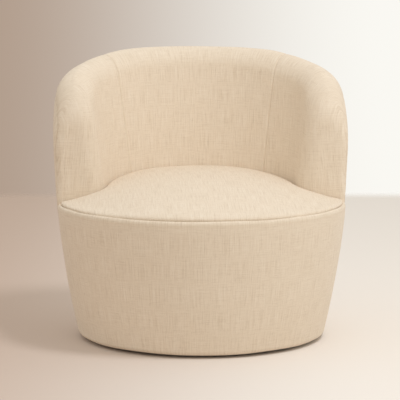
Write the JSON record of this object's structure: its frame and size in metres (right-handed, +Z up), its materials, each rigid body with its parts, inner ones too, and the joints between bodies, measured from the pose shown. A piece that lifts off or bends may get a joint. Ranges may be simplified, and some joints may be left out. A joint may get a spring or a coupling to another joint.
{
  "type": "swivel barrel chair",
  "caption": "Upholstered barrel armchair on a hidden swivel: tub back with sloping arms, crowned seat, skirtless hem that nearly touches the floor.",
  "frame": {"origin": "on the floor, on the axis of the swivel, at the middle of the chair", "axes": "+Z up, the sitter faces -Y, +X is to the right seen from the front"},
  "size_m": [0.7852, 0.7781, 0.7585],
  "materials": {
    "linen": "cream slubby linen-look plain weave, padded",
    "stained_wood": "dark stained plywood disc",
    "glide_plastic": "black nylon",
    "zinc_steel": "zinc plated",
    "swivel_steel": "pressed zinc-plated sheet",
    "cage_plastic": "moulded natural nylon",
    "ball_steel": "polished ball steel",
    "bush_plastic": "acetal bush",
    "plywood": "birch plywood, raw",
    "spring_steel": "drawn spring wire",
    "felt": "needled felt pad",
    "fibreboard": "thin hard fibreboard",
    "cambric": "black non-woven dust cloth"
  },
  "bodies": {
    "base": {"base_disc": "stained_wood", "floor_glides": "glide_plastic", "glide_screws": "zinc_steel", "lower_swivel_plate": "swivel_steel", "lower_plate_screws": "zinc_steel", "pivot_bolt": "zinc_steel", "pivot_washer": "zinc_steel", "pivot_nut": "zinc_steel"},
    "ball_race": {"ball_cage": "cage_plastic", "bearing_balls": "ball_steel"},
    "chair": {"upper_swivel_plate": "swivel_steel", "pivot_bush": "bush_plastic", "upper_plate_bolts": "zinc_steel", "frame_t_nuts": "zinc_steel", "bottom_frame": "plywood", "hem_ring": "plywood", "seat_frame": "plywood", "back_ribs": "plywood", "left_arm_post": "plywood", "right_arm_post": "plywood", "front_ribs": "plywood", "top_rail": "plywood", "rail_screws": "zinc_steel", "seat_springs": "spring_steel", "spring_clips": "zinc_steel", "spring_insulator": "felt", "seat_pad": "linen", "inside_back_pad": "linen", "right_wing_pad": "linen", "left_wing_pad": "linen", "outside_back_panel": "linen", "left_outside_panel": "linen", "right_outside_panel": "linen", "front_border": "linen", "front_liner": "fibreboard", "back_liner": "fibreboard", "dust_cover": "cambric"}
  },
  "joints": [
    {"name": "swivel", "type": "hinge", "parent": "base", "child": "chair", "pos_m": [0, 0, 0.037], "axis": [0, 0, 1], "continuous": true},
    {"name": "ball_race_turn", "type": "hinge", "parent": "base", "child": "ball_race", "pos_m": [0, 0, 0.0305], "axis": [0, 0, 1], "continuous": true}
  ],
  "couplings": [
    {"joint": "ball_race_turn", "follows": "swivel", "ratio": 0.5}
  ]
}
